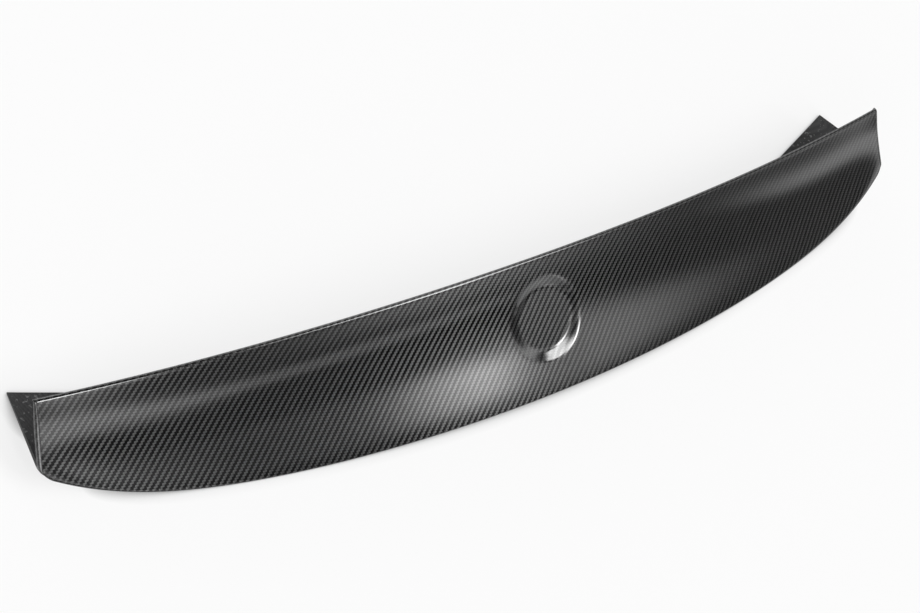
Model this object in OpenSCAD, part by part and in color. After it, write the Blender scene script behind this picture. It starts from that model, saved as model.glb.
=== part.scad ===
// Car rear spoiler: a ducktail for a boot lid, one thin woven-laminate moulding.
// It stands as it lies on a bench: X runs across the car, -Y is the side of the
// bowed lower edge, +Z is up, and Z = 0 is the surface that the base rests on.
// The origin is the middle of the footprint.

/* [Lip] */
// How far each end of the lip lies in from the lower corner below it
lip_inset = 9; // [0:0.5:30]
// Height of the middle of the lip
lip_h = 101.5; // [85:0.5:125]
// How much lower the ends of the lip are than its middle
lip_fall = 24.3; // [0:0.1:35]
// Crown of that fall, from 1 for a parabola to 2 for shoulders that droop early
lip_crown = 1.4; // [1:0.05:2]
// How far the ends of the lip trail behind its middle
lip_sweep = 40.6; // [10:0.1:70]
// Width of the narrow land that folds back behind the middle of the lip
land_w = 3.9; // [3.4:0.1:12]
// Width of that land at the ends of the lip
land_end = 3.4; // [3.4:0.1:12]
// Slope of that land below the level, in degrees
land_slope = 25; // [0:1:50]
// Reach of the rounding along each side of the lip's crest
crest_round = 2.2; // [1:0.1:3]

/* [Lower edge] */
// Width across the two lower corners
hem_w = 1063; // [920:1:1220]
// How far the middle of the lower edge lies ahead of the lip, before rounding
hem_reach = 110; // [90:1:130]
// How far the lower corners sweep back behind the middle of the edge
hem_sweep = 100.6; // [60:0.1:115]
// Share of that sweep which is a plain parabola, the rest hooks in at the ends
hem_parabola = 0.75; // [0.6:0.01:1]
// Height of the middle of the lower edge above the bench
hem_arch = 4.4; // [0:0.1:8]
// Height of the lower corners above the bench
hem_kick = 24; // [8:0.5:32]
// Share of the half width at which the lower edge touches the bench
hem_touch = 0.6; // [0.45:0.01:0.75]
// Reach of the rounding along each side of the fold at the lower edge
fold_round = 4; // [2:0.25:5]
// Radius of the two lower corners of the skin
corner_r = 12.5; // [9:0.5:28]
// Radius of the roll along the two upright ends of the skin
end_roll = 4.5; // [4:0.25:7]
// Radius of that roll up at the lip, where the corner is nearly sharp
lip_roll = 2.8; // [2.7:0.05:4]
// How far down the skin the roll reaches its full radius, as a share
roll_reach = 0.35; // [0.2:0.01:0.6]

/* [Skin profile] */
// Bend of the profile at the middle, between the kick and the apron, in degrees
bend_mid = 18; // [8:0.5:24]
// Bend of the profile at the ends, in degrees
bend_end = 6; // [2:0.5:12]
// Where the valley lies at the middle, as a share of the way down from the lip
valley_mid = 0.31; // [0.24:0.01:0.5]
// Where the valley lies at the ends, as a share of the way down from the lip
valley_end = 0.52; // [0.4:0.01:0.65]
// Length of the soft bend, as a share of the way down from the lip
valley_len = 0.76; // [0.4:0.01:0.9]
// Turn of the apron down towards the lower edge, in degrees
hem_curl = 4; // [0:0.5:8]
// Where that turn begins, as a share of the way down from the lip
curl_start = 0.78; // [0.6:0.01:0.9]

/* [Badge seat] */
// Diameter of the flat floor of the round seat
seat_d = 62; // [50:1:78]
// Diameter of the rim where the seat has faded into the skin
rim_d = 91; // [82:1:100]
// Depth of the flat floor below the skin, at the middle of the seat
seat_depth = 2; // [0.5:0.25:4]
// Distance from the lip down the skin to the middle of the seat
seat_drop = 67; // [58:1:84]

/* [Base] */
// How far each free point at the back of the base lies in from the lower corner
tab_inset = 15.5; // [8:0.5:40]
// How far the free points lie behind the middle of the lip
tab_back = 87; // [60:1:110]
// Depth of the base at its narrow waist in the middle
base_waist = 24; // [16:1:40]

/* [Laminate] */
// Thickness of the laminate
wall = 2; // [1.2:0.1:2.6]

/* [Hidden] */
carbon = [0.10, 0.10, 0.11];
hem_half = hem_w / 2;
lip_half = hem_half - lip_inset;
tab_half = hem_half - tab_inset;
curl = hem_curl * PI / 180;
// Lateral share at which the roll of an upright end begins
roll_start = 1 - end_roll / lip_half;
// Lateral share at which the rounding of a lower corner begins
corner_start = 1 - corner_r / hem_half;
// Lateral share of the closely spaced stations across the badge seat
seat_half = 0.54 * rim_d / lip_half;
// The base's rear edge is a hyperbola, this is the slope of its straight arms
arm_slope = sqrt(pow(tab_back + hem_reach, 2) - pow(base_waist, 2)) / tab_half;
// Inner roundings at the lip and at the fold
crest_inner = 0.8;
fold_inner = 1.6;
// Numbers of steps: across the seat, to the corner, round the corner, over the roll
seat_steps = 20;
plain_steps = 28;
corner_steps = 4;
roll_steps = 5;
// Numbers of steps: down the skin, round a fold, along the base
skin_steps = 18;
round_steps = 3;
base_steps = 3;

function clamp01(a) = min(1, max(0, a));
function mix(a, b, s) = a + (b - a) * s;
function smooth(s) = s * s * (3 - 2 * s);
function unit(p) = p / norm(p);
function turned(d) = [d[1], -d[0]];

// The lip and the lower edge at a lateral share v, as [y, z]
function lip_at(v) = [
    lip_sweep * v * v,
    lip_h - lip_fall * (lip_crown * pow(v, 2) + (1 - lip_crown) * pow(v, 4))
];
function hem_lift(a) = a < hem_touch
    ? hem_arch * pow(1 - pow(a / hem_touch, 2), 2)
    : hem_kick * pow((a - hem_touch) / (1 - hem_touch), 3);
function hem_at(v) = [
    hem_sweep * (hem_parabola * pow(v, 2) + (1 - hem_parabola) * pow(v, 8)) - hem_reach,
    hem_lift(abs(v))
];

// A profile holds [v, lip, way from lip to lower edge, bend in radians, valley]
function profile(v) = let (lip = lip_at(v)) [
    v, lip, hem_at(v) - lip,
    mix(bend_mid, bend_end, pow(v, 4)) * PI / 180,
    mix(valley_mid, valley_end, v * v)
];
// The slope is a smoothstep through the valley, less a square from the curl's start.
// Its sum down the skin, less the chord that closes it at both ends, is the sag.
function bend_share(p, t) = clamp01((t - p[4]) / valley_len + 0.5);
function bend_sum(p, t) = let (s = bend_share(p, t))
    valley_len * (pow(s, 3) - pow(s, 4) / 2) + max(0, t - p[4] - valley_len / 2);
function curl_share(t) = max(0, t - curl_start) / (1 - curl_start);
function slope_sum(p, t) = p[3] * (bend_sum(p, t) - bend_sum(p, 0))
    - curl * (1 - curl_start) * pow(curl_share(t), 3) / 3;
function sag(p, t) = slope_sum(p, t) - slope_sum(p, 1) * t;
function sag_slope(p, t) =
    p[3] * smooth(bend_share(p, t)) - curl * pow(curl_share(t), 2) - slope_sum(p, 1);
function skin_yz(p, t) = p[1] + p[2] * t + turned(p[2]) * sag(p, t);
function skin_dir(p, t) = unit(p[2] + turned(p[2]) * sag_slope(p, t));

// Radius of the end's roll down the skin, and the lateral place of a point of the skin
function roll_at(t) = mix(lip_roll, end_roll, smooth(clamp01(t / roll_reach)));
function skin_x(p, t) = p[0] / roll_start * (mix(lip_half, hem_half, t) - roll_at(t));

// The badge seat: a flat disc sunk square to the middle of the valley
seat_profile = profile(0);
seat_t = seat_drop / norm(seat_profile[2]);
seat_mid = skin_yz(seat_profile, seat_t);
seat_normal = turned(skin_dir(seat_profile, seat_t));
function seat_share(p, t) =
    let (r = norm([skin_x(p, t), (t - seat_t) * norm(p[2])]))
    1 - smooth(clamp01((2 * r - seat_d) / (rim_d - seat_d)));
function seated_yz(p, t) = let (q = skin_yz(p, t), share = seat_share(p, t))
    q - seat_normal * share * ((q - seat_mid) * seat_normal + seat_depth);

// How steeply the skin runs sideways, and the wall measured in a y-z section
function side_slope(p, t) = let (step = 0.002, next = profile(p[0] + step))
    (skin_yz(next, t) - skin_yz(p, t)) * turned(skin_dir(p, t))
    / (step * mix(lip_half, hem_half, t));
function section_wall(p, t) =
    min(wall * sqrt(1 + pow(side_slope(p, t), 2)), lip_roll - 0.4);

// The lower end of the skin, as a share of the profile, drawn up round the corner
function corner_lift(x) = let (d = clamp01((abs(x) - hem_half + corner_r) / corner_r))
    corner_r * (1 - sqrt(1 - d * d));
function hem_share(p, x) = 1 - corner_lift(x) / norm(p[2]);

// The base's rear edge at a share of the hem's half width, as [x, y, z]
function rear_at(share) = let (x = tab_half * share)
    [x, norm([base_waist, arm_slope * x]) - hem_reach, 0];

// Point s along a rounding from a to b with its tangents meeting at c
function rounded(a, c, b, s) = a * pow(1 - s, 2) + c * 2 * s * (1 - s) + b * s * s;
function steps(n) = [for (i = [0:n]) i / n];

// One face of the laminate at a station, from the land round to the base's rear edge.
// side is 0 for the moulded outer face and 1 for the inner face.
function face(v, roll, side) =
    let (
        p = profile(v),
        turn = v < 0 ? -1 : 1,
        over = sin(roll),
        hem_x = skin_x(p, 1) + turn * end_roll * over,
        t_end = hem_share(p, hem_x),
        w = section_wall(p, t_end / 2) * side,
        // The two corners of the section: the lip's crest and the lower fold
        down = skin_dir(p, 0),
        back = [cos(land_slope), -sin(land_slope)],
        crest = skin_yz(p, 0) - turned(down) * lip_roll * (1 - cos(roll)),
        crest_inset = w / (turned(down) * back) * -1,
        crest_in = crest + (down + back) * crest_inset,
        hem_dir = skin_dir(p, t_end),
        fold = skin_yz(p, t_end) - turned(hem_dir) * end_roll * (1 - cos(roll)),
        rear = rear_at(hem_x / hem_half),
        along = unit([rear[1], rear[2]] - fold),
        fold_inset = w / (turned(hem_dir) * along) * -1,
        fold_in = fold + (along - hem_dir) * fold_inset,
        crest_gap = mix(crest_round, crest_inner, side) + crest_inset,
        fold_gap = mix(fold_round, fold_inner, side) + fold_inset,
        c = norm(p[2]),
        t0 = crest_gap / c,
        t1 = t_end - fold_gap / c,
        skin = [for (s = steps(skin_steps)) let (t = mix(t0, t1, s), r = roll_at(t) - w)
            concat([skin_x(p, t) + turn * r * over],
                seated_yz(p, t) - turned(skin_dir(p, t)) * (r + w - r * cos(roll)))],
        lip_x = skin_x(p, 0) + turn * (lip_roll - w) * over,
        land_in = [-sin(land_slope), -cos(land_slope)] * w,
        land = crest + back * mix(land_w, land_end, v * v) + land_in,
        crest_b = crest_in + back * mix(crest_round, crest_inner, side),
        fold_x = skin_x(p, t_end) + turn * (end_roll - w) * over,
        base_up = [-along[1], along[0]] * w,
        fold_b = fold_in + along * mix(fold_round, fold_inner, side),
        rear_yz = [rear[1], rear[2]] + base_up
    )
    concat(
        [concat([lip_x], land)],
        [for (i = [0:round_steps - 1]) let (s = i / round_steps)
            concat([lip_x], rounded(crest_b, crest_in, [skin[0][1], skin[0][2]], s))],
        skin,
        [for (i = [1:round_steps]) let (s = i / round_steps)
            concat([mix(skin[skin_steps][0], fold_x, s)],
                rounded([skin[skin_steps][1], skin[skin_steps][2]], fold_in, fold_b, s))],
        [for (i = [1:base_steps]) let (s = i / base_steps)
            concat([mix(fold_x, rear[0], s)], mix(fold_b, rear_yz, s))]
    );

// Stations from the middle out to one end, as [lateral share, turn of the end roll]
half_stations = concat(
    [for (i = [1:seat_steps / 2]) [seat_half * i / (seat_steps / 2), 0]],
    [for (i = [1:plain_steps]) [mix(seat_half, corner_start, i / plain_steps), 0]],
    [for (i = [1:corner_steps]) let (
        reach = asin(clamp01((roll_start - corner_start) / (1 - corner_start))))
        [mix(corner_start, 1, sin(reach * i / corner_steps)), 0]],
    [for (i = [1:roll_steps]) [roll_start, 90 * i / roll_steps]]
);
count = len(half_stations);
stations = concat(
    [for (i = [count - 1:-1:0]) [-half_stations[i][0], half_stations[i][1]]],
    [[0, 0]],
    half_stations
);

module spoiler_shell() {
    outer = [for (s = stations) face(s[0], s[1], 0)];
    inner = [for (s = stations) face(s[0], s[1], 1)];
    rows = len(stations);
    cols = len(outer[0]);
    // Index of a point: outer face first, then the inner face
    function at(i, j, side) = (side * rows + i) * cols + j;
    points = concat([for (row = outer) each row], [for (row = inner) each row]);
    sheets = [for (i = [0:rows - 2], j = [0:cols - 2]) each [
        [at(i, j, 0), at(i + 1, j, 0), at(i + 1, j + 1, 0)],
        [at(i, j, 0), at(i + 1, j + 1, 0), at(i, j + 1, 0)],
        [at(i, j, 1), at(i + 1, j + 1, 1), at(i + 1, j, 1)],
        [at(i, j, 1), at(i, j + 1, 1), at(i + 1, j + 1, 1)]
    ]];
    long_edges = [for (i = [0:rows - 2]) each [
        [at(i, 0, 0), at(i, 0, 1), at(i + 1, 0, 1)],
        [at(i, 0, 0), at(i + 1, 0, 1), at(i + 1, 0, 0)],
        [at(i, cols - 1, 0), at(i + 1, cols - 1, 1), at(i, cols - 1, 1)],
        [at(i, cols - 1, 0), at(i + 1, cols - 1, 0), at(i + 1, cols - 1, 1)]
    ]];
    ends = [for (j = [0:cols - 2]) each [
        [at(0, j, 0), at(0, j + 1, 1), at(0, j, 1)],
        [at(0, j, 0), at(0, j + 1, 0), at(0, j + 1, 1)],
        [at(rows - 1, j, 0), at(rows - 1, j, 1), at(rows - 1, j + 1, 1)],
        [at(rows - 1, j, 0), at(rows - 1, j + 1, 1), at(rows - 1, j + 1, 0)]
    ]];
    ahead = min([for (q = outer[count]) q[1]]);
    behind = max([for (q = inner[0]) q[1]]);
    color(carbon)
        translate([0, -(ahead + behind) / 2, 0])
            polyhedron(points, concat(sheets, long_edges, ends), convexity = 6);
}

spoiler_shell();
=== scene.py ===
"""Looks for a moulded carbon rear spoiler, a ducktail for a boot lid.

The part is one thin laminate of woven carbon cloth: a skin that kicks up to a lip,
a narrow land folded back behind the lip, a base folded back under the lower edge,
and a round seat left bare for a badge. The fine shell here follows the same sizes
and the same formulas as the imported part, so it stands exactly where that part is.
"""
import logging
import math
from dataclasses import dataclass, field
from enum import Enum
from typing import Sequence, Union

import bpy
import numpy as np
from mathutils import Matrix, Vector


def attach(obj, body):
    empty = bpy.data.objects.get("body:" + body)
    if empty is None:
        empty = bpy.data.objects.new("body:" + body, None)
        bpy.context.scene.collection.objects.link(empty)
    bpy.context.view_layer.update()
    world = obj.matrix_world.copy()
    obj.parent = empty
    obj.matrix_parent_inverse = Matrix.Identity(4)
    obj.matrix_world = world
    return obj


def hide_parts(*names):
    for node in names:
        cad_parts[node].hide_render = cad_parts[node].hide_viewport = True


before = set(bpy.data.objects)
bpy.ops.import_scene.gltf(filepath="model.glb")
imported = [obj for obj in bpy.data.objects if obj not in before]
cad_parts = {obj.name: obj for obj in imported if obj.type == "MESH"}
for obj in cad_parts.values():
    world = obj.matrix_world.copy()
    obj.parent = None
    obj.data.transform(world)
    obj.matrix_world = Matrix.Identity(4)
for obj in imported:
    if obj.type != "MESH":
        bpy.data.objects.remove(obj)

Array = np.ndarray
Colour = tuple[float, float, float]
Triple = tuple[float, float, float]
Value = Union[float, bpy.types.NodeSocket]

LOG = logging.getLogger("spoiler")
MM = 0.001
SHELL_NODE = "spoiler_shell"
BODY = "root"
CLOTH_MAP = "cloth"


class Side(Enum):
    """The two faces of the laminate."""

    OUTER = 0
    INNER = 1


class Zone(Enum):
    """The three finishes of the shell, each with its material's index."""

    MOULDED = 0
    BAG_SIDE = 1
    TRIMMED = 2


def clamp01(a: Array) -> Array:
    """Limits values to the range from 0 to 1."""
    return np.clip(a, 0.0, 1.0)


def smooth(s: Array) -> Array:
    """Smoothstep: three times s squared less twice s cubed."""
    return s * s * (3.0 - 2.0 * s)


def unit(p: Array) -> Array:
    """Scales the vectors in the last axis to length one."""
    return p / np.linalg.norm(p, axis=-1, keepdims=True)


def turned(d: Array) -> Array:
    """Turns [y, z] vectors by a right angle, to (z, -y)."""
    return np.stack([d[..., 1], -d[..., 0]], axis=-1)


def dot(a: Array, b: Array) -> Array:
    """Dot product along the last axis, which is kept with length one."""
    return np.sum(a * b, axis=-1, keepdims=True)


def rounded(start: Array, corner: Array, end: Array, share: Array) -> Array:
    """Rounds a corner by a quadratic curve whose two tangents meet at the corner.

    Args:
        start: First points, one row for each station.
        corner: Points where the tangents meet.
        end: Last points.
        share: Places along the curve, from 0 to 1.

    Returns:
        Points on a grid of stations by shares.
    """
    s = share[None, :, None]
    return start[:, None] * (1.0 - s) ** 2 + 2.0 * corner[:, None] * s * (1.0 - s) + end[:, None] * s**2


def straight(start: Array, end: Array, share: Array) -> Array:
    """Points along straight lines.

    Args:
        start: First points, one row for each station.
        end: Last points.
        share: Places along the line, from 0 to 1.

    Returns:
        Points on a grid of stations by shares.
    """
    return start[:, None] + (end - start)[:, None] * share[None, :, None]


def sheet_quads(grid: Array, order: Sequence[int]) -> Array:
    """The faces of a grid of points.

    Args:
        grid: Point numbers on a grid.
        order: The order in which the four corners of a face are taken.

    Returns:
        Four point numbers for each face.
    """
    corners = (grid[:-1, :-1], grid[:-1, 1:], grid[1:, 1:], grid[1:, :-1])
    return np.stack([corners[k] for k in order], axis=-1).reshape(-1, 4)


def strip_quads(a: Array, b: Array) -> Array:
    """The faces between two rows of point numbers."""
    return np.stack([a[:-1], a[1:], b[1:], b[:-1]], axis=-1)


@dataclass(frozen=True)
class SpoilerForm:
    """The spoiler's sizes in millimetres, and the section curves that follow from them.

    A lateral share v runs from -1 to 1 across the car. A share t runs down the skin
    from the lip, where it is 0, to the lower edge, where it is 1.
    """

    lip_inset: float = 9.0
    lip_h: float = 101.5
    lip_fall: float = 24.3
    lip_crown: float = 1.4
    lip_sweep: float = 40.6
    land_w: float = 3.9
    land_end: float = 3.4
    land_slope: float = 25.0
    crest_round: float = 2.2
    hem_w: float = 1063.0
    hem_reach: float = 110.0
    hem_sweep: float = 100.6
    hem_parabola: float = 0.75
    hem_arch: float = 4.4
    hem_kick: float = 24.0
    hem_touch: float = 0.6
    fold_round: float = 4.0
    corner_r: float = 12.5
    end_roll: float = 4.5
    lip_roll: float = 2.8
    roll_reach: float = 0.35
    bend_mid: float = 18.0
    bend_end: float = 6.0
    valley_mid: float = 0.31
    valley_end: float = 0.52
    valley_len: float = 0.76
    hem_curl: float = 4.0
    curl_start: float = 0.78
    seat_d: float = 62.0
    rim_d: float = 91.0
    seat_depth: float = 2.0
    seat_drop: float = 67.0
    tab_inset: float = 15.5
    tab_back: float = 87.0
    base_waist: float = 24.0
    wall: float = 2.0
    crest_inner: float = 0.8
    fold_inner: float = 1.6
    roll_inner: float = 0.4

    @property
    def hem_half(self) -> float:
        """Half the width across the lower corners."""
        return self.hem_w / 2.0

    @property
    def lip_half(self) -> float:
        """Half the width of the lip."""
        return self.hem_half - self.lip_inset

    @property
    def roll_start(self) -> float:
        """Lateral share at which the roll of an upright end begins."""
        return 1.0 - self.end_roll / self.lip_half

    def lip(self, v: Array) -> Array:
        """The lip as [y, z]: a parabola in plan, and in height a parabola with a quartic share."""
        fall = self.lip_crown * v**2 + (1.0 - self.lip_crown) * v**4
        return np.stack([self.lip_sweep * v**2, self.lip_h - self.lip_fall * fall], axis=-1)

    def hem(self, v: Array) -> Array:
        """The lower edge.

        In plan it is a parabola whose ends hook back by an eighth power. It is lifted by
        a quartic arch in the middle and by a cubic kick at the ends.

        Args:
            v: Lateral shares.

        Returns:
            Points as [y, z].
        """
        share = self.hem_parabola * v**2 + (1.0 - self.hem_parabola) * v**8
        a = np.abs(v) / self.hem_touch
        arch = self.hem_arch * (1.0 - np.minimum(a, 1.0) ** 2) ** 2
        past = np.maximum(np.abs(v) - self.hem_touch, 0.0) / (1.0 - self.hem_touch)
        return np.stack([self.hem_sweep * share - self.hem_reach, arch + self.hem_kick * past**3], axis=-1)

    def fall_line(self, v: Array) -> Array:
        """The way from the lip to the lower edge as [y, z]."""
        return self.hem(v) - self.lip(v)

    def bend(self, v: Array) -> Array:
        """Bend of the profile in radians, which fades to the ends by a fourth power."""
        return np.radians(self.bend_mid + (self.bend_end - self.bend_mid) * v**4)

    def valley(self, v: Array) -> Array:
        """Share of the way down at which the valley lies, which sinks to the ends by a square."""
        return self.valley_mid + (self.valley_end - self.valley_mid) * v**2

    def bend_share(self, v: Array, t: Array) -> Array:
        """How far the soft bend has been run through, from 0 to 1."""
        return clamp01((t - self.valley(v)) / self.valley_len + 0.5)

    def curl_share(self, t: Array) -> Array:
        """How far the turn towards the lower edge has been run through, from 0 to 1."""
        return np.maximum(0.0, t - self.curl_start) / (1.0 - self.curl_start)

    def slope_sum(self, v: Array, t: Array) -> Array:
        """The profile's slope added up from the lip down to a share t.

        The slope is a smoothstep through the valley, less a square from the curl's start.

        Args:
            v: Lateral shares.
            t: Shares of the way down.

        Returns:
            Offsets as a share of the way's length.
        """
        def bent(share: Array, down: Array) -> Array:
            """The smoothstep added up: cube less half the fourth power, then a straight line."""
            beyond = np.maximum(0.0, down - self.valley(v) - self.valley_len / 2.0)
            return self.valley_len * (share**3 - share**4 / 2.0) + beyond

        zero = np.zeros_like(t)
        run = bent(self.bend_share(v, t), t) - bent(self.bend_share(v, zero), zero)
        curl = math.radians(self.hem_curl) * (1.0 - self.curl_start) * self.curl_share(t) ** 3 / 3.0
        return self.bend(v) * run - curl

    def sag(self, v: Array, t: Array) -> Array:
        """Offset from the straight way down as a share of its length, zero at both ends."""
        return self.slope_sum(v, t) - self.slope_sum(v, np.ones_like(t)) * t

    def skin(self, v: Array, t: Array) -> Array:
        """The moulded face of the skin without the badge seat, as [y, z]."""
        way = self.fall_line(v)
        return self.lip(v) + way * t[..., None] + turned(way) * self.sag(v, t)[..., None]

    def downhill(self, v: Array, t: Array) -> Array:
        """Direction down the skin in its section.

        The slope against the straight way down is a smoothstep through the valley, less a
        square from the curl's start, and less its own mean.

        Args:
            v: Lateral shares.
            t: Shares of the way down.

        Returns:
            Unit vectors as [y, z].
        """
        slope = self.bend(v) * smooth(self.bend_share(v, t))
        slope = slope - math.radians(self.hem_curl) * self.curl_share(t) ** 2
        slope = slope - self.slope_sum(v, np.ones_like(t))
        way = self.fall_line(v)
        return unit(way + turned(way) * slope[..., None])

    def across(self, v: Array, t: Array) -> Array:
        """Lateral place x of a point of the skin."""
        half = self.lip_half + (self.hem_half - self.lip_half) * t
        return v / self.roll_start * (half - self.roll_at(t))

    def roll_at(self, t: Array) -> Array:
        """Radius of the end's roll, which is small at the lip and soon grows to its full size."""
        return self.lip_roll + (self.end_roll - self.lip_roll) * smooth(clamp01(t / self.roll_reach))

    def seat_place(self) -> tuple[float, Array, Array]:
        """Where the badge seat lies.

        Returns:
            Its share t, its middle and its normal, the last two as [y, z].
        """
        zero = np.zeros(1)
        t = self.seat_drop / float(np.linalg.norm(self.fall_line(zero)))
        at = np.full(1, t)
        return t, self.skin(zero, at)[0], turned(self.downhill(zero, at))[0]

    def seated(self, v: Array, t: Array) -> Array:
        """The skin with the badge seat pressed into it.

        Inside the floor's diameter the skin is laid flat onto a plane sunk below the
        seat's middle, and out to the rim it comes back to the skin by a smoothstep.

        Args:
            v: Lateral shares on a grid.
            t: Shares of the way down on the same grid.

        Returns:
            Points as [y, z].
        """
        seat_t, middle, normal = self.seat_place()
        plain = self.skin(v, t)
        down = (t - seat_t) * np.linalg.norm(self.fall_line(v), axis=-1)
        r = np.hypot(self.across(v, t), down)
        share = 1.0 - smooth(clamp01((2.0 * r - self.seat_d) / (self.rim_d - self.seat_d)))
        height = dot(plain - middle, normal)[..., 0] + self.seat_depth
        return plain - normal * (share * height)[..., None]

    def side_slope(self, v: Array, t: Array) -> Array:
        """How steeply the skin runs sideways, square to its section.

        Args:
            v: Lateral shares.
            t: Shares of the way down.

        Returns:
            Rise for each millimetre across the car.
        """
        step = 0.002
        rise = dot(self.skin(v + step, t) - self.skin(v, t), turned(self.downhill(v, t)))[..., 0]
        return rise / (step * (self.lip_half + (self.hem_half - self.lip_half) * t))

    def section_wall(self, v: Array, t: Array) -> Array:
        """The laminate's thickness measured in a section.

        It is thicker where the skin runs sideways, but leaves the lip's roll its least
        inner radius.

        Args:
            v: Lateral shares.
            t: Shares of the way down.

        Returns:
            Thicknesses in millimetres.
        """
        thick = self.wall * np.sqrt(1.0 + self.side_slope(v, t) ** 2)
        return np.minimum(thick, self.lip_roll - self.roll_inner)

    def hem_share(self, v: Array, x: Array) -> Array:
        """Where the skin ends, drawn up along a circle round each lower corner.

        Args:
            v: Lateral shares.
            x: Lateral places of the lower edge, in millimetres.

        Returns:
            Shares of the way down.
        """
        d = clamp01((np.abs(x) - self.hem_half + self.corner_r) / self.corner_r)
        lift = self.corner_r * (1.0 - np.sqrt(1.0 - d * d))
        return 1.0 - lift / np.linalg.norm(self.fall_line(v), axis=-1)

    def rear(self, share: Array) -> tuple[Array, Array]:
        """The base's rear edge: a hyperbola with nearly straight arms.

        Args:
            share: Places along the edge, from -1 to 1.

        Returns:
            The places as x, and as [y, z].
        """
        half = self.hem_half - self.tab_inset
        arm = math.sqrt((self.tab_back + self.hem_reach) ** 2 - self.base_waist**2) / half
        x = half * share
        y = np.hypot(self.base_waist, arm * x) - self.hem_reach
        return x, np.stack([y, np.zeros_like(y)], axis=-1)


@dataclass(frozen=True)
class Fineness:
    """Numbers of steps of the shell's grid: half across the seat, out to the corner,
    round the corner, over the end's roll, then down the skin, round the lip's crest,
    round the lower fold and along the base."""

    seat: int = 48
    plain: int = 96
    corner: int = 16
    roll: int = 12
    skin: int = 84
    crest: int = 8
    fold: int = 12
    base: int = 10


@dataclass
class SpoilerShell:
    """The whole spoiler: one closed sheet of laminate with an outer and an inner face."""

    form: SpoilerForm = field(default_factory=SpoilerForm)
    steps: Fineness = field(default_factory=Fineness)
    name: str = "carbon_shell"
    seat_margin: float = 1.08
    cloth_turn: float = -0.07
    sharp_angle: float = 38.0

    def stations(self) -> tuple[Array, Array]:
        """Lateral shares and roll angles of the stations, from the left end to the right.

        They are evenly spaced across the seat and out to the corner, follow a sine round
        the corner, and then stay at one share while the end rolls over by a right angle.

        Returns:
            The lateral shares, and the roll angles in radians.
        """
        form, steps = self.form, self.steps
        roll_start = form.roll_start
        corner_start = 1.0 - form.corner_r / form.hem_half
        seat_half = self.seat_margin * form.rim_d / 2.0 / form.lip_half
        left = 1.0 - corner_start
        turn = math.asin((roll_start - corner_start) / left)
        v = np.concatenate([
            seat_half * np.arange(1, steps.seat + 1) / steps.seat,
            seat_half + (corner_start - seat_half) * np.arange(1, steps.plain + 1) / steps.plain,
            corner_start + left * np.sin(turn * np.arange(1, steps.corner + 1) / steps.corner),
            np.full(steps.roll, roll_start),
        ])
        roll = np.zeros_like(v)
        roll[-steps.roll:] = 0.5 * math.pi * np.arange(1, steps.roll + 1) / steps.roll
        return np.concatenate([-v[::-1], [0.0], v]), np.concatenate([roll[::-1], [0.0], roll])

    def face(self, v: Array, roll: Array, side: Side) -> Array:
        """One face of the laminate, from the land over the skin to the base's rear edge.

        Each station is a section: the land runs back and down from the lip, the crest is
        rounded, the skin follows the profile with the badge seat, the lower fold is
        rounded, and the base runs straight back to its rear edge. The inner face is the
        outer one moved inwards by the wall, and at the ends both turn about the same line.

        Args:
            v: Lateral shares of the stations.
            roll: Roll angles of the stations.
            side: The outer or the inner face.

        Returns:
            Points in millimetres, on a grid of stations by section points.
        """
        form, steps = self.form, self.steps
        turn = np.where(v < 0.0, -1.0, 1.0)
        zero = np.zeros_like(v)
        outward, flat = turn * np.sin(roll), np.cos(roll)
        hem_x = form.across(v, zero + 1.0) + form.end_roll * outward
        t_end = form.hem_share(v, hem_x)
        wall = form.section_wall(v, t_end / 2.0) * side.value

        slope = math.radians(form.land_slope)
        back = np.array([math.cos(slope), -math.sin(slope)])
        down = form.downhill(v, zero)
        crest = form.skin(v, zero) - turned(down) * form.lip_roll * (1.0 - flat)[:, None]
        crest_inset = -wall / dot(turned(down), back)[:, 0]
        crest_in = crest + (down + back) * crest_inset[:, None]
        crest_reach = form.crest_inner if side is Side.INNER else form.crest_round

        hem_down = form.downhill(v, t_end)
        fold = form.skin(v, t_end) - turned(hem_down) * form.end_roll * (1.0 - flat)[:, None]
        rear_x, rear = form.rear(hem_x / form.hem_half)
        along = unit(rear - fold)
        fold_inset = -wall / dot(turned(hem_down), along)[:, 0]
        fold_in = fold + (along - hem_down) * fold_inset[:, None]
        fold_reach = form.fold_inner if side is Side.INNER else form.fold_round

        chord = np.linalg.norm(form.fall_line(v), axis=-1)
        first = (crest_reach + crest_inset) / chord
        last = t_end - (fold_reach + fold_inset) / chord
        t = first[:, None] + (last - first)[:, None] * np.linspace(0.0, 1.0, steps.skin + 1)
        vv = np.broadcast_to(v[:, None], t.shape)
        radius = form.roll_at(t) - wall[:, None]
        depth = radius + wall[:, None] - radius * flat[:, None]
        skin = form.seated(vv, t) - turned(form.downhill(vv, t)) * depth[..., None]
        skin_x = form.across(vv, t) + radius * outward[:, None]

        lip_x = form.across(v, zero) + (form.lip_roll - wall) * outward
        land_in = np.array([-math.sin(slope), -math.cos(slope)]) * wall[:, None]
        land_w = form.land_w + (form.land_end - form.land_w) * v**2
        land = crest + back * land_w[:, None] + land_in
        over = np.arange(steps.crest) / steps.crest
        crest_yz = rounded(crest_in + back * crest_reach, crest_in, skin[:, 0], over)
        crest_x = np.repeat(lip_x[:, None], steps.crest + 1, axis=1)

        fold_x = form.across(v, t_end) + (form.end_roll - wall) * outward
        fold_end = fold_in + along * fold_reach
        under = np.arange(1, steps.fold + 1) / steps.fold
        fold_yz = rounded(skin[:, -1], fold_in, fold_end, under)
        fold_xs = skin_x[:, -1:] + (fold_x[:, None] - skin_x[:, -1:]) * under

        base_up = np.stack([-along[:, 1], along[:, 0]], axis=-1) * wall[:, None]
        behind = np.arange(1, steps.base + 1) / steps.base
        base_yz = straight(fold_end, rear + base_up, behind)
        base_x = fold_x[:, None] + (rear_x - fold_x)[:, None] * behind

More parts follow.
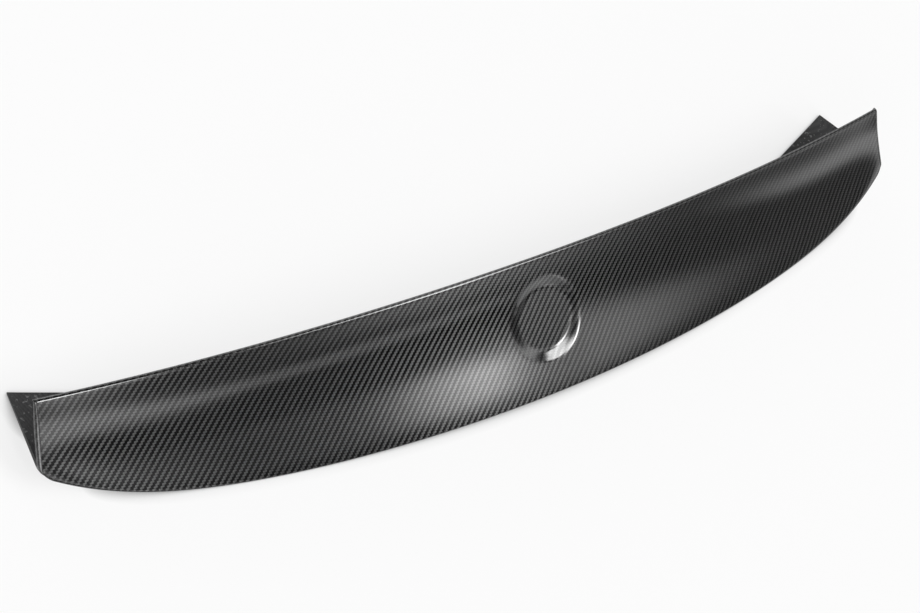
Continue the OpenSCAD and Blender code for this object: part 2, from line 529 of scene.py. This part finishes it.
        x = np.concatenate([crest_x, skin_x, fold_xs, base_x], axis=1)
        yz = np.concatenate([land[:, None], crest_yz, skin, fold_yz, base_yz], axis=1)
        return np.concatenate([x[..., None], yz], axis=-1)

    def cloth(self, v: Array, roll: Array, outer: Array) -> Array:
        """Where each point lies on the flat cloth, in metres.

        Across the car the cloth is laid along the skin's own length at half height. Down
        the skin it is measured round each section from the crest, plus the part of the
        lip's own run that points down the skin. Then it is turned by a small angle.

        Args:
            v: Lateral shares of the stations.
            roll: Roll angles of the stations.
            outer: The outer face's points in millimetres.

        Returns:
            Weft and warp coordinates for each point of a face.
        """
        form = self.form
        half = np.full_like(v, 0.5)
        mean_half = (form.lip_half + form.hem_half) / 2.0
        stretch = mean_half * np.sqrt(1.0 + form.side_slope(v, half) ** 2)
        step = 1e-4
        lip_run = (form.lip(v + step) - form.lip(v - step)) / (2.0 * step)
        creep = dot(lip_run, form.downhill(v, half))[:, 0]
        gap = np.diff(v)
        side = np.concatenate([[0.0], np.cumsum(gap * (stretch[1:] + stretch[:-1]) / 2.0)])
        fall = np.concatenate([[0.0], np.cumsum(gap * (creep[1:] + creep[:-1]) / 2.0)])
        middle = v.size // 2
        side += np.sign(v) * form.end_roll * roll - side[middle]
        fall -= fall[middle]
        length = np.linalg.norm(np.diff(outer[..., 1:], axis=1), axis=-1)
        down = np.concatenate([np.zeros((v.size, 1)), np.cumsum(length, axis=1)], axis=1)
        start = self.steps.crest + 1
        t = fall[:, None] + down - down[:, start:start + 1]
        s = np.broadcast_to(side[:, None], t.shape)
        c, d = math.cos(self.cloth_turn), math.sin(self.cloth_turn)
        return np.stack([s * c + t * d, t * c - s * d], axis=-1) * MM

    def mesh(self) -> bpy.types.Mesh:
        """Joins both faces by strips along the four edges into one closed mesh.

        Returns:
            The mesh in metres, with its cloth map and one material index for each zone.
        """
        v, roll = self.stations()
        outer, inner = self.face(v, roll, Side.OUTER), self.face(v, roll, Side.INNER)
        cloth = self.cloth(v, roll, outer)
        shift = -(outer[v.size // 2, :, 1].min() + inner[0, :, 1].max()) / 2.0
        points = np.concatenate([outer.reshape(-1, 3), inner.reshape(-1, 3)])
        points = (points + np.array([0.0, shift, 0.0])) * MM

        rows, cols = outer.shape[:2]
        o = np.arange(rows * cols).reshape(rows, cols)
        n = o + rows * cols
        parts = [
            (Zone.MOULDED, sheet_quads(o, (0, 1, 2, 3))),
            (Zone.BAG_SIDE, sheet_quads(n, (0, 3, 2, 1))),
            (Zone.TRIMMED, strip_quads(o[:, 0], n[:, 0])),
            (Zone.TRIMMED, strip_quads(n[:, -1], o[:, -1])),
            (Zone.TRIMMED, strip_quads(n[0], o[0])),
            (Zone.TRIMMED, strip_quads(o[-1], n[-1])),
        ]
        quads = np.concatenate([q for _, q in parts])
        zones = np.concatenate([np.full(len(q), zone.value) for zone, q in parts])

        made = bpy.data.meshes.new(self.name)
        made.from_pydata(points, [], quads)
        made.polygons.foreach_set("material_index", zones.astype(np.int32))
        places = np.concatenate([cloth.reshape(-1, 2)] * 2)[quads]
        edge = (zones == Zone.TRIMMED.value)[:, None] & (quads >= rows * cols)
        places[edge] += self.form.wall * MM
        layer = made.uv_layers.new(name=CLOTH_MAP)
        layer.data.foreach_set("uv", places.astype(np.float32).ravel())
        made.shade_smooth()
        made.set_sharp_from_angle(angle=math.radians(self.sharp_angle))
        made.validate()
        return made

    def build(self, finishes: dict[Zone, bpy.types.Material]) -> bpy.types.Object:
        """Makes the dressed shell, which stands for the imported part.

        Args:
            finishes: The material of each zone.

        Returns:
            The shell's object, at the origin.
        """
        made = self.mesh()
        for zone in Zone:
            made.materials.append(finishes[zone])
        shell = bpy.data.objects.new(self.name, made)
        bpy.context.scene.collection.objects.link(shell)
        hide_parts(SHELL_NODE)
        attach(shell, BODY)
        return shell


class Wiring:
    """Adds shader nodes to one tree and joins them up."""

    def __init__(self, tree: bpy.types.NodeTree) -> None:
        """Empties the tree, ready for new nodes."""
        tree.nodes.clear()
        self.tree = tree

    def node(self, kind: str, **settings: object) -> bpy.types.Node:
        """Adds one node.

        Args:
            kind: The node's type.
            settings: Values for the node's own properties.

        Returns:
            The new node.
        """
        made = self.tree.nodes.new(kind)
        for key, value in settings.items():
            setattr(made, key, value)
        return made

    def feed(self, socket: bpy.types.NodeSocket, value: Union[Value, Colour]) -> None:
        """Joins a socket to another socket, or gives it a constant.

        Args:
            socket: The socket that takes the value.
            value: A socket, a number, or a colour or vector of three numbers.
        """
        if isinstance(value, bpy.types.NodeSocket):
            self.tree.links.new(value, socket)
        elif socket.type == "RGBA" and not isinstance(value, (int, float)):
            socket.default_value = (*value, 1.0)
        else:
            socket.default_value = value

    def sum(self, operation: str, *values: Value) -> bpy.types.NodeSocket:
        """One step of arithmetic.

        Args:
            operation: The name of the operation.
            values: One to three numbers or sockets.

        Returns:
            The result.
        """
        made = self.node("ShaderNodeMath", operation=operation)
        for socket, value in zip(made.inputs, values):
            self.feed(socket, value)
        return made.outputs[0]

    def between(self, share: Value, low: Value, high: Value) -> bpy.types.NodeSocket:
        """A number between two others.

        Args:
            share: How far the way is gone, from 0 to 1.
            low: The number at share 0.
            high: The number at share 1.

        Returns:
            The number between.
        """
        made = self.node("ShaderNodeMix", data_type="FLOAT", clamp_factor=True)
        for socket, value in zip(made.inputs[0:1] + made.inputs[2:4], (share, low, high)):
            self.feed(socket, value)
        return made.outputs[0]

    def blend(
        self, share: Value, low: Union[Colour, Value], high: Union[Colour, Value]
    ) -> bpy.types.NodeSocket:
        """A colour between two others.

        Args:
            share: How far the way is gone, from 0 to 1.
            low: The colour at share 0.
            high: The colour at share 1.

        Returns:
            The colour between.
        """
        made = self.node("ShaderNodeMix", data_type="RGBA", clamp_factor=True)
        for socket, value in ((made.inputs[0], share), (made.inputs[6], low), (made.inputs[7], high)):
            self.feed(socket, value)
        return made.outputs[2]

    def vector(self, x: Value, y: Value, z: Value = 0.0) -> bpy.types.NodeSocket:
        """A vector made of three numbers.

        Args:
            x: The first number.
            y: The second number.
            z: The third number.

        Returns:
            The vector.
        """
        made = self.node("ShaderNodeCombineXYZ")
        for socket, value in zip(made.inputs, (x, y, z)):
            self.feed(socket, value)
        return made.outputs[0]

    def parts(self, vector: bpy.types.NodeSocket) -> Sequence[bpy.types.NodeSocket]:
        """The three numbers of a vector.

        Args:
            vector: The vector.

        Returns:
            One socket for each number.
        """
        made = self.node("ShaderNodeSeparateXYZ")
        self.feed(made.inputs[0], vector)
        return made.outputs

    def noise(self, vector: bpy.types.NodeSocket, scale: float, detail: float = 2.0) -> bpy.types.NodeSocket:
        """Smooth noise from 0 to 1.

        Args:
            vector: Where the noise is read.
            scale: Number of cells along one unit of the vector.
            detail: Number of finer layers.

        Returns:
            The noise.
        """
        made = self.node("ShaderNodeTexNoise", noise_dimensions="3D")
        self.feed(made.inputs["Vector"], vector)
        self.feed(made.inputs["Scale"], scale)
        self.feed(made.inputs["Detail"], detail)
        return made.outputs["Fac"]

    def bump(self, height: bpy.types.NodeSocket, distance: float) -> bpy.types.NodeSocket:
        """A normal tilted by a relief.

        Args:
            height: The relief, from 0 to 1.
            distance: The relief's full height in metres.

        Returns:
            The tilted normal.
        """
        made = self.node("ShaderNodeBump")
        self.feed(made.inputs["Height"], height)
        self.feed(made.inputs["Distance"], distance)
        self.feed(made.inputs["Strength"], 1.0)
        return made.outputs["Normal"]

    def scaled(self, vector: bpy.types.NodeSocket, factor: Value) -> bpy.types.NodeSocket:
        """A vector or colour times a number.

        Args:
            vector: The vector or colour.
            factor: The number.

        Returns:
            The product.
        """
        made = self.node("ShaderNodeVectorMath", operation="SCALE")
        self.feed(made.inputs[0], vector)
        self.feed(made.inputs["Scale"], factor)
        return made.outputs[0]

    def output(self, kind: str, surface: bpy.types.Node) -> None:
        """Ends the tree in an output node of a kind, fed by a shader node."""
        self.feed(self.node(kind).inputs["Surface"], surface.outputs[0])


@dataclass(frozen=True)
class TwillSockets:
    """What the weave gives to a finish: warp on top, height of the float, fibre streaks."""

    warp: bpy.types.NodeSocket
    height: bpy.types.NodeSocket
    fibre: bpy.types.NodeSocket


@dataclass(frozen=True)
class TwillWeave:
    """Two-by-two twill of flat carbon tows, read from the cloth map."""

    tow: float = 0.002
    wander: float = 0.0004
    wander_scale: float = 14.0
    crown_power: float = 2.5
    dive_power: float = 4.0
    streaks_across: float = 9.0
    streaks_along: float = 0.3

    def draw(self, w: Wiring) -> TwillSockets:
        """Adds the nodes that draw the weave.

        The cell of a warp tow and a weft tow counts up along both. The warp lies on top
        where the sum of both counts, modulo four, is under two. A float is two tows long
        and is crowned across by one less a power of the distance from its middle. It dives
        at its ends by one less a higher power. The streaks are noise, fine across the tow
        and long down it.

        Args:
            w: The material's wiring.

        Returns:
            The sockets that the finish reads.
        """
        uv = w.node("ShaderNodeUVMap", uv_map=CLOTH_MAP).outputs[0]
        across, down, _ = w.parts(uv)
        sway = w.sum("SUBTRACT", w.noise(uv, self.wander_scale, 1.0), 0.5)
        ends = w.sum("DIVIDE", w.sum("MULTIPLY_ADD", sway, self.wander, across), self.tow)
        picks = w.sum("DIVIDE", w.sum("MULTIPLY_ADD", sway, -self.wander, down), self.tow)
        count = w.sum("ADD", w.sum("FLOOR", ends), w.sum("FLOOR", picks))
        phase = w.sum("FLOORED_MODULO", count, 4.0)
        warp = w.sum("LESS_THAN", phase, 1.5)
        in_end, in_pick = w.sum("FRACT", ends), w.sum("FRACT", picks)
        over = w.between(warp, in_pick, in_end)
        along = w.between(warp, in_end, in_pick)
        cell = w.sum("MODULO", phase, 2.0)
        run = w.sum("DIVIDE", w.sum("ADD", cell, along), 2.0)
        off = w.sum("MULTIPLY_ADD", over, 2.0, -1.0)
        crown = w.sum("SUBTRACT", 1.0, w.sum("POWER", w.sum("ABSOLUTE", off), self.crown_power))
        away = w.sum("MULTIPLY_ADD", run, 2.0, -1.0)
        dive = w.sum("SUBTRACT", 1.0, w.sum("POWER", w.sum("ABSOLUTE", away), self.dive_power))
        height = w.sum("MULTIPLY", crown, dive)
        fine = w.sum("MULTIPLY", w.between(warp, picks, ends), self.streaks_across)
        long = w.sum("MULTIPLY", w.between(warp, ends, picks), self.streaks_along)
        fibre = w.noise(w.vector(fine, long, warp), 1.0)
        return TwillSockets(warp=warp, height=height, fibre=fibre)


@dataclass(frozen=True)
class MouldedFinish:
    """Gloss clear coat over the twill, as it leaves the mould.

    The tows shine along their fibres, those across the car (weft) more than those down
    it (warp), and the resin between them hardly shines. A weft turn of a quarter lays
    the gloss along the other tows.
    """

    name: str = "moulded_carbon_twill"
    weave: TwillWeave = TwillWeave()
    warp_colour: Colour = (0.003, 0.003, 0.0031)
    weft_colour: Colour = (0.0045, 0.0045, 0.0046)
    resin_colour: Colour = (0.0025, 0.0025, 0.0025)
    fibre_roughness: float = 0.33
    fibre_direction: float = 1.0
    fibre_gloss: float = 0.5
    resin_gleam: Colour = (0.08, 0.08, 0.08)
    warp_gleam: Colour = (0.06, 0.06, 0.06)
    weft_gleam: Colour = (1.0, 1.0, 1.0)
    streak_range: tuple[float, float] = (0.55, 1.45)
    resin_fill: float = 2.5
    resin_blur: float = 0.2
    weft_turn: float = 0.25
    crown_height: float = 0.00008
    coat_roughness: float = 0.04
    coat_ior: float = 1.6

    def material(self) -> bpy.types.Material:
        """Makes the material.

        Returns:
            The new material.
        """
        made = bpy.data.materials.new(self.name)
        made.use_nodes = True
        w = Wiring(made.node_tree)
        twill = self.weave.draw(w)
        tows = w.blend(twill.warp, self.weft_colour, self.warp_colour)
        shaded = w.scaled(tows, w.between(twill.fibre, *self.streak_range))
        filled = w.sum("MULTIPLY", twill.height, self.resin_fill)
        filled = w.sum("SMOOTH_MIN", filled, 1.0, self.resin_blur)
        colour = w.blend(filled, self.resin_colour, shaded)
        shader = w.node("ShaderNodeBsdfPrincipled")
        w.feed(shader.inputs["Base Color"], colour)
        w.feed(shader.inputs["Roughness"], self.fibre_roughness)
        w.feed(shader.inputs["Specular IOR Level"], self.fibre_gloss)
        gleam = w.blend(twill.warp, self.weft_gleam, self.warp_gleam)
        w.feed(shader.inputs["Specular Tint"], w.blend(filled, self.resin_gleam, gleam))
        w.feed(shader.inputs["Anisotropic"], self.fibre_direction)
        w.feed(shader.inputs["Anisotropic Rotation"], w.between(twill.warp, self.weft_turn, 0.0))
        tangent = w.node("ShaderNodeTangent", direction_type="UV_MAP", uv_map=CLOTH_MAP)
        w.feed(shader.inputs["Tangent"], tangent.outputs[0])
        w.feed(shader.inputs["Normal"], w.bump(twill.height, self.crown_height))
        w.feed(shader.inputs["Coat Weight"], 1.0)
        w.feed(shader.inputs["Coat Roughness"], self.coat_roughness)
        w.feed(shader.inputs["Coat IOR"], self.coat_ior)
        w.output("ShaderNodeOutputMaterial", shader)
        return made


@dataclass(frozen=True)
class BagSideFinish:
    """The matt inner face, where the cloth lay under the vacuum bag, stained and scuffed."""

    name: str = "bag_side_laminate"
    weave: TwillWeave = TwillWeave()
    warp_colour: Colour = (0.032, 0.032, 0.033)
    weft_colour: Colour = (0.018, 0.018, 0.019)
    speck_colour: Colour = (0.30, 0.30, 0.30)
    patch_scale: float = 90.0
    speck_scale: float = 260.0
    speck_range: tuple[float, float] = (0.60, 0.70)
    stain_scale: float = 34.0
    stain_range: tuple[float, float] = (0.3, 1.7)
    roughness_range: tuple[float, float] = (0.43, 0.67)
    weave_share: float = 0.6
    print_depth: float = 0.00015

    def material(self) -> bpy.types.Material:
        """Makes the material.

        Returns:
            The new material.
        """
        made = bpy.data.materials.new(self.name)
        made.use_nodes = True
        w = Wiring(made.node_tree)
        twill = self.weave.draw(w)
        place = w.node("ShaderNodeTexCoord").outputs["Object"]
        tows = w.blend(twill.warp, self.weft_colour, self.warp_colour)
        patch = w.noise(place, self.patch_scale, 3.0)
        speck = w.node("ShaderNodeMapRange", interpolation_type="SMOOTHSTEP")
        inputs = (w.noise(place, self.speck_scale), *self.speck_range)
        for key, value in zip(("Value", "From Min", "From Max"), inputs):
            w.feed(speck.inputs[key], value)
        worn = w.sum("MULTIPLY", speck.outputs[0], patch)
        stain = w.between(w.noise(place, self.stain_scale, 3.0), *self.stain_range)
        colour = w.blend(worn, w.scaled(tows, stain), self.speck_colour)
        shader = w.node("ShaderNodeBsdfPrincipled")
        w.feed(shader.inputs["Base Color"], colour)
        w.feed(shader.inputs["Roughness"], w.between(patch, *self.roughness_range))
        relief = w.sum("ADD", w.sum("MULTIPLY", twill.height, self.weave_share), patch)
        w.feed(shader.inputs["Normal"], w.bump(relief, self.print_depth))
        w.output("ShaderNodeOutputMaterial", shader)
        return made


@dataclass(frozen=True)
class TrimmedFinish:
    """The sawn and sanded edge of the laminate."""

    name: str = "trimmed_laminate_edge"
    dark_colour: Colour = (0.018, 0.018, 0.018)
    pale_colour: Colour = (0.060, 0.060, 0.061)
    grain_scale: float = 700.0
    grain_depth: float = 0.00008
    roughness: float = 0.5

    def material(self) -> bpy.types.Material:
        """Makes the material.

        Returns:
            The new material.
        """
        made = bpy.data.materials.new(self.name)
        made.use_nodes = True
        w = Wiring(made.node_tree)
        place = w.node("ShaderNodeTexCoord").outputs["Object"]
        grain = w.noise(place, self.grain_scale, 3.0)
        shader = w.node("ShaderNodeBsdfPrincipled")
        w.feed(shader.inputs["Base Color"], w.blend(grain, self.dark_colour, self.pale_colour))
        w.feed(shader.inputs["Roughness"], self.roughness)
        w.feed(shader.inputs["Normal"], w.bump(grain, self.grain_depth))
        w.output("ShaderNodeOutputMaterial", shader)
        return made


@dataclass(frozen=True)
class SoftLight:
    """One soft source far away in the studio, bright in its middle and fading outwards.

    Azimuth 0 lies ahead of the spoiler's bowed edge, and 90 to its right. The width and
    height are the angles from the middle at which the light has fallen to about a third.
    An edge of 1 fades slowly, and one of 2 or 3 leaves an even middle and a short fade.
    """

    azimuth: float
    elevation: float
    width: float
    height: float
    strength: float
    edge: float = 1.0
    tilt: float = 0.0

    def axes(self) -> tuple[Vector, Vector, Vector]:
        """The light's own directions.

        Returns:
            Unit vectors across the light, up it and towards it.
        """
        a, e = math.radians(self.azimuth), math.radians(self.elevation)
        towards = Vector((math.sin(a) * math.cos(e), -math.cos(a) * math.cos(e), math.sin(e)))
        turn = Matrix.Rotation(math.radians(self.tilt), 3, towards)
        across = turn @ Vector((math.cos(a), math.sin(a), 0.0))
        return across, towards.cross(across), towards

    def draw(self, w: Wiring, ray: bpy.types.NodeSocket) -> bpy.types.NodeSocket:
        """Adds the nodes of this light.

        The strength falls by the exponential of minus a power of the squared distance,
        where the distance is measured in widths sideways and in heights upwards, and the
        power is the edge.

        Args:
            w: The world's wiring.
            ray: The direction looked at.

        Returns:
            The light's strength in that direction.
        """
        across, up, towards = self.axes()
        near = []
        for axis, angle in ((across, self.width), (up, self.height)):
            along = w.node("ShaderNodeVectorMath", operation="DOT_PRODUCT")
            w.feed(along.inputs[0], ray)
            w.feed(along.inputs[1], tuple(axis / math.sin(math.radians(angle))))
            near.append(w.sum("POWER", along.outputs["Value"], 2.0))
        ahead = w.node("ShaderNodeVectorMath", operation="DOT_PRODUCT")
        w.feed(ahead.inputs[0], ray)
        w.feed(ahead.inputs[1], tuple(towards))
        away = w.sum("POWER", w.sum("ADD", *near), self.edge)
        fall = w.sum("EXPONENT", w.sum("MULTIPLY", away, -1.0))
        front = w.sum("GREATER_THAN", ahead.outputs["Value"], 0.0)
        return w.sum("MULTIPLY", w.sum("MULTIPLY", fall, front), self.strength)


@dataclass(frozen=True)
class Studio:
    """A dim room with soft lights, shown pale to the camera, and a round pale floor.

    The lights stand where the coat and the tows mirror them: the key box with its hard
    edge, narrow boxes in front that draw the bands on the cloth, a low band at the right
    end, low fills in front, one to the left for the rolled end, one above for the crest,
    and a wide weak one behind for the inner face. The seen floor is a glow, which gives
    its tone, plus a share of matt white, which holds the shadows. The glow is darkened by
    ambient occlusion within a short reach of the spoiler: a painted contact shadow.
    """

    pale: Colour = (0.97, 0.97, 0.97)
    room: float = 0.025
    floor_colour: Colour = (0.80, 0.80, 0.80)
    floor_glow: float = 0.795
    floor_share: float = 0.14
    # Reach of the ambient occlusion that darkens the floor's glow near the spoiler: a painted contact
    # shadow.
    painted_shadow_reach: float = 0.012
    floor_radius: float = 0.8
    floor_sides: int = 96
    lights: tuple[SoftLight, ...] = (
        SoftLight(azimuth=33.6, elevation=40.9, width=3.9, height=6.7, strength=20.0, edge=1.5),
        SoftLight(azimuth=25.4, elevation=34.1, width=12.4, height=2.9, strength=0.26, edge=2.0),
        SoftLight(azimuth=62.5, elevation=30.3, width=21.9, height=7.4, strength=2.42, edge=1.5),
        SoftLight(azimuth=4.1, elevation=51.7, width=4.5, height=14.9, strength=20.0, edge=1.5),
        SoftLight(azimuth=1.1, elevation=20.0, width=10.3, height=4.4, strength=1.98, edge=1.5, tilt=-30.0),
        SoftLight(azimuth=19.0, elevation=14.2, width=13.2, height=2.4, strength=0.73, edge=1.5, tilt=-8.0),
        SoftLight(azimuth=57.9, elevation=4.6, width=8.8, height=3.3, strength=1.48, edge=1.5, tilt=20.0),
        SoftLight(azimuth=24.9, elevation=-0.4, width=10.2, height=6.7, strength=2.26, edge=1.0),
        SoftLight(azimuth=175.0, elevation=14.0, width=50.0, height=16.0, strength=2.4, edge=1.0),
        SoftLight(azimuth=31.4, elevation=37.1, width=5.9, height=7.0, strength=4.11, edge=1.5),
        SoftLight(azimuth=50.0, elevation=55.5, width=15.0, height=10.5, strength=11.5, edge=3.0),
        SoftLight(azimuth=-52.0, elevation=18.0, width=28.0, height=14.0, strength=4.8, edge=1.5),
        SoftLight(azimuth=100.0, elevation=60.0, width=14.0, height=5.0, strength=6.0, edge=1.5),
    )

    def light(self) -> None:
        """Makes the world: camera rays see the pale backdrop, and the others the lights."""
        world = bpy.data.worlds.new("studio")
        world.use_nodes = True
        w = Wiring(world.node_tree)
        ray = w.node("ShaderNodeTexCoord").outputs["Generated"]
        level: Value = self.room
        for lamp in self.lights:
            level = w.sum("ADD", level, lamp.draw(w, ray))
        dome, backdrop = w.node("ShaderNodeBackground"), w.node("ShaderNodeBackground")
        w.feed(dome.inputs["Color"], (1.0, 1.0, 1.0))
        w.feed(dome.inputs["Strength"], level)
        w.feed(backdrop.inputs["Color"], self.pale)
        path = w.node("ShaderNodeLightPath")
        seen = w.sum("MAXIMUM", path.outputs["Is Camera Ray"], path.outputs["Is Transmission Ray"])
        either = w.node("ShaderNodeMixShader")
        for socket, value in zip(either.inputs, (seen, dome.outputs[0], backdrop.outputs[0])):
            w.feed(socket, value)
        w.output("ShaderNodeOutputWorld", either)
        bpy.context.scene.world = world

    def floor_material(self) -> bpy.types.Material:
        """Pale matt floor, which camera rays see with a glow and with its shadows. Near the
        spoiler the glow is darkened by ambient occlusion: a painted contact shadow.

        Returns:
            The floor's material.
        """
        made = bpy.data.materials.new("pale_floor")
        made.use_nodes = True
        w = Wiring(made.node_tree)
        matt, seen_matt = w.node("ShaderNodeBsdfDiffuse"), w.node("ShaderNodeBsdfDiffuse")
        w.feed(matt.inputs["Color"], self.floor_colour)
        w.feed(seen_matt.inputs["Color"], (self.floor_share,) * 3)
        glow = w.node("ShaderNodeEmission")
        w.feed(glow.inputs["Color"], (1.0, 1.0, 1.0))
        # Ambient occlusion darkens the floor's glow near the spoiler: a painted contact shadow.
        near = w.node("ShaderNodeAmbientOcclusion")
        w.feed(near.inputs["Distance"], self.painted_shadow_reach)
        w.feed(glow.inputs["Strength"], w.sum("MULTIPLY", near.outputs["AO"], self.floor_glow))
        both = w.node("ShaderNodeAddShader")
        w.feed(both.inputs[0], seen_matt.outputs[0])
        w.feed(both.inputs[1], glow.outputs[0])
        path = w.node("ShaderNodeLightPath")
        seen = w.sum("MAXIMUM", path.outputs["Is Camera Ray"], path.outputs["Is Glossy Ray"])
        seen = w.sum("MAXIMUM", seen, path.outputs["Is Transmission Ray"])
        either = w.node("ShaderNodeMixShader")
        for socket, value in zip(either.inputs, (seen, matt.outputs[0], both.outputs[0])):
            w.feed(socket, value)
        w.output("ShaderNodeOutputMaterial", either)
        return made

    def floor(self) -> bpy.types.Object:
        """Lays the floor at the height on which the spoiler stands.

        Returns:
            The floor's object.
        """
        turn = np.linspace(0.0, 2.0 * math.pi, self.floor_sides, endpoint=False)
        rim = np.stack([np.cos(turn), np.sin(turn), np.zeros_like(turn)], axis=-1) * self.floor_radius
        made = bpy.data.meshes.new("floor")
        made.from_pydata(rim, [], [tuple(range(turn.size))])
        made.materials.append(self.floor_material())
        floor = bpy.data.objects.new("floor", made)
        bpy.context.scene.collection.objects.link(floor)
        return floor


@dataclass(frozen=True)
class PhotoCamera:
    """The camera of the photograph: its place in metres, its axes and its lens."""

    place: Triple = (-1.0516, -0.5532, 1.6145)
    right: Triple = (0.8113, -0.4818, 0.3312)
    forward: Triple = (0.5049, 0.2918, -0.8124)
    lens: float = 76.034
    sensor: float = 36.0
    nearest: float = 0.01
    farthest: float = 200.0

    def build(self) -> bpy.types.Object:
        """Sets the camera up and makes it the scene's camera.

        Returns:
            The camera's object.
        """
        data = bpy.data.cameras.new("camera")
        data.lens = self.lens
        data.sensor_width = self.sensor
        data.sensor_fit = "HORIZONTAL"
        data.clip_start = self.nearest
        data.clip_end = self.farthest
        camera = bpy.data.objects.new("camera", data)
        back = -Vector(self.forward).normalized()
        right = Vector(self.right)
        right = (right - back * right.dot(back)).normalized()
        turn = Matrix((right, back.cross(right), back)).transposed()
        camera.matrix_world = Matrix.Translation(self.place) @ turn.to_4x4()
        bpy.context.scene.collection.objects.link(camera)
        bpy.context.scene.camera = camera
        return camera


def main() -> None:
    """Builds the spoiler, the studio and the camera in order."""
    logging.basicConfig(level=logging.INFO, format="%(message)s")
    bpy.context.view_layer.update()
    bpy.context.scene.view_settings.view_transform = "Standard"
    PhotoCamera().build()
    studio = Studio()
    studio.light()
    studio.floor()
    finishes = {
        Zone.MOULDED: MouldedFinish().material(),
        Zone.BAG_SIDE: BagSideFinish().material(),
        Zone.TRIMMED: TrimmedFinish().material(),
    }
    shell = SpoilerShell().build(finishes)
    LOG.info("%s: %d faces", shell.name, len(shell.data.polygons))


if __name__ == "__main__":
    main()
